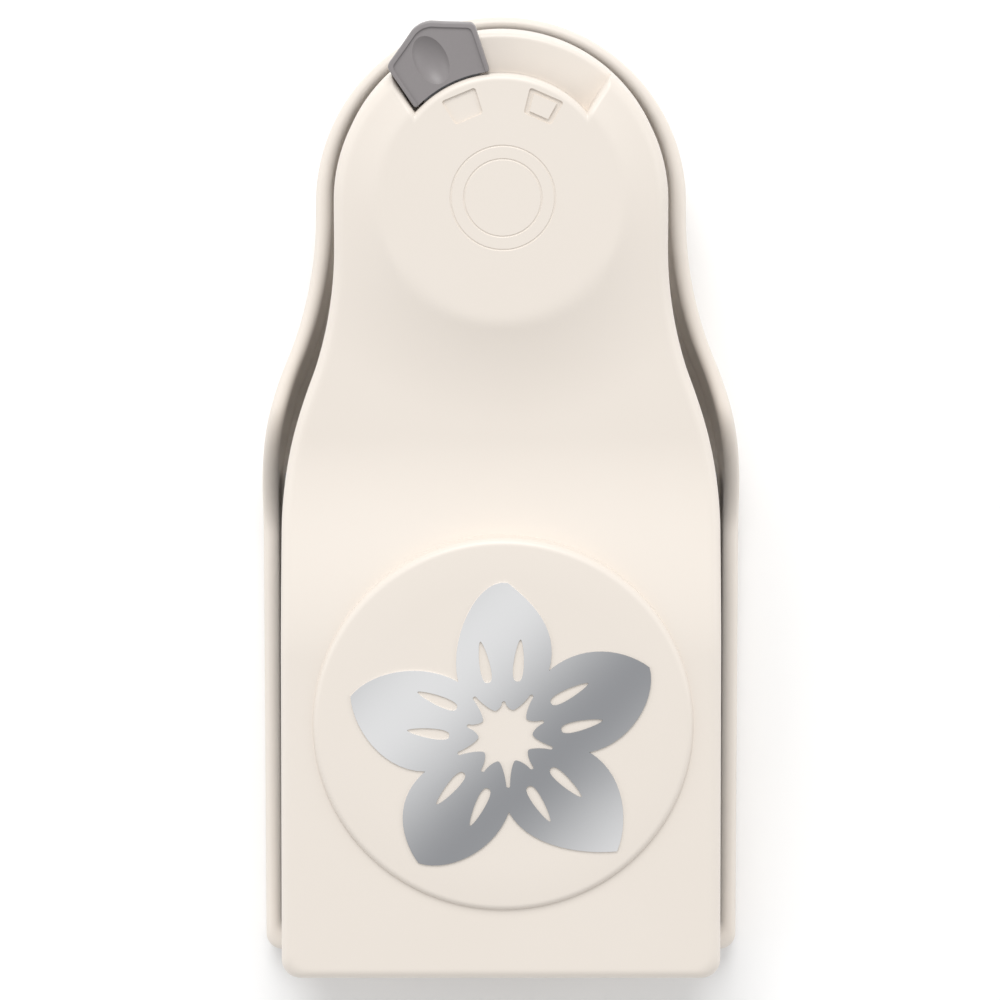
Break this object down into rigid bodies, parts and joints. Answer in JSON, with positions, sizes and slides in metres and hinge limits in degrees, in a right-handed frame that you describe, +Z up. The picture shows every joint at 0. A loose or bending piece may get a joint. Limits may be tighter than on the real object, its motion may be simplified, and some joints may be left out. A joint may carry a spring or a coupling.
{
  "type": "craft punch",
  "caption": "Lever press that cuts a five-petal flower from paper, with a sliding selector for its inner cut-outs; the lever is hinged at the front.",
  "frame": {"origin": "under the middle of the object, on the plane it stands on", "axes": "+Y from the paper slot to the round pad at the back, +Z up"},
  "size_m": [0.0834, 0.1642, 0.0549],
  "materials": {
    "cream_plastic": "smooth moulded plastic, soft sheen",
    "grey_plastic": "satin moulded plastic",
    "steel": "rolled and ground",
    "tool_steel": "ground, lightly oiled",
    "spring_steel": "drawn wire",
    "fastener_steel": "zinc plated",
    "silver_foil": "metallic foil with broad light and dark bands"
  },
  "bodies": {
    "base": {"base_shell": "cream_plastic", "die_plate": "steel", "slot_spacer": "steel", "guide_plate": "steel", "die_rivet_1": "fastener_steel", "die_rivet_2": "fastener_steel", "die_rivet_3": "fastener_steel", "die_rivet_4": "fastener_steel", "base_screw_1": "fastener_steel", "base_screw_2": "fastener_steel", "base_screw_3": "fastener_steel", "base_screw_4": "fastener_steel", "hinge_pin": "steel", "pin_clip_left": "tool_steel", "pin_clip_right": "tool_steel", "return_spring_1": "spring_steel", "return_spring_2": "spring_steel", "return_spring_3": "spring_steel", "return_spring_4": "spring_steel", "die_retainer": "steel", "retainer_screw_1": "fastener_steel", "retainer_screw_2": "fastener_steel", "retainer_screw_3": "fastener_steel", "die_spring_1": "spring_steel", "die_spring_2": "spring_steel", "die_spring_3": "spring_steel"},
    "lever": {"lever_frame": "steel", "lever_cover": "cream_plastic", "cover_screw_1": "fastener_steel", "cover_screw_2": "fastener_steel", "cover_screw_3": "fastener_steel", "cover_screw_4": "fastener_steel", "flower_badge": "silver_foil", "selector_screw": "fastener_steel", "selector_washer": "steel"},
    "punch": {"outline_punch": "tool_steel", "carrier_spring_1": "spring_steel", "carrier_spring_2": "spring_steel", "carrier_spring_3": "spring_steel"},
    "pin_carrier": {"pin_carrier": "tool_steel"},
    "detail_die": {"detail_die": "tool_steel"},
    "selector": {"selector_knob": "grey_plastic", "selector_arm": "tool_steel"},
    "slide": {"selector_slide": "steel"}
  },
  "joints": [
    {"name": "lever_press", "type": "hinge", "parent": "base", "child": "lever", "pos_m": [0, -0.07085, 0.0175], "axis": [-1, 0, 0], "range_deg": [0, 10], "stiffness_Nm_per_rad": 2, "springref_deg": -14.32},
    {"name": "punch_drop", "type": "slide", "parent": "base", "child": "punch", "axis": [0, 0, -1], "range_m": [0, 0.00588], "deforming": ["return_spring_1", "return_spring_2", "return_spring_3", "return_spring_4"]},
    {"name": "detail_die_drop", "type": "slide", "parent": "base", "child": "detail_die", "axis": [0, 0, -1], "range_m": [0, 0.0017], "deforming": ["die_spring_1", "die_spring_2", "die_spring_3"]},
    {"name": "selector_turn", "type": "hinge", "parent": "lever", "child": "selector", "pos_m": [0, 0.05123, 0.04613], "axis": [0, 0.1736, -0.9848], "range_deg": [0, 52.6]},
    {"name": "slide_shift", "type": "slide", "parent": "lever", "child": "slide", "axis": [0, -0.9848, -0.1736], "range_m": [0, 0.01037]},
    {"name": "carrier_drop", "type": "slide", "parent": "punch", "child": "pin_carrier", "axis": [0, 0, -1], "range_m": [0, 0.0016], "deforming": ["carrier_spring_1", "carrier_spring_2", "carrier_spring_3"]}
  ],
  "couplings": [
    {"joint": "punch_drop", "follows": "lever_press", "m_per_rad": 0.03368},
    {"joint": "detail_die_drop", "follows": "lever_press", "m_per_rad": 0.00974},
    {"joint": "selector_turn", "follows": "slide_shift", "rad_per_m": 88.52},
    {"joint": "carrier_drop", "follows": "slide_shift", "ratio": 0.1542}
  ]
}
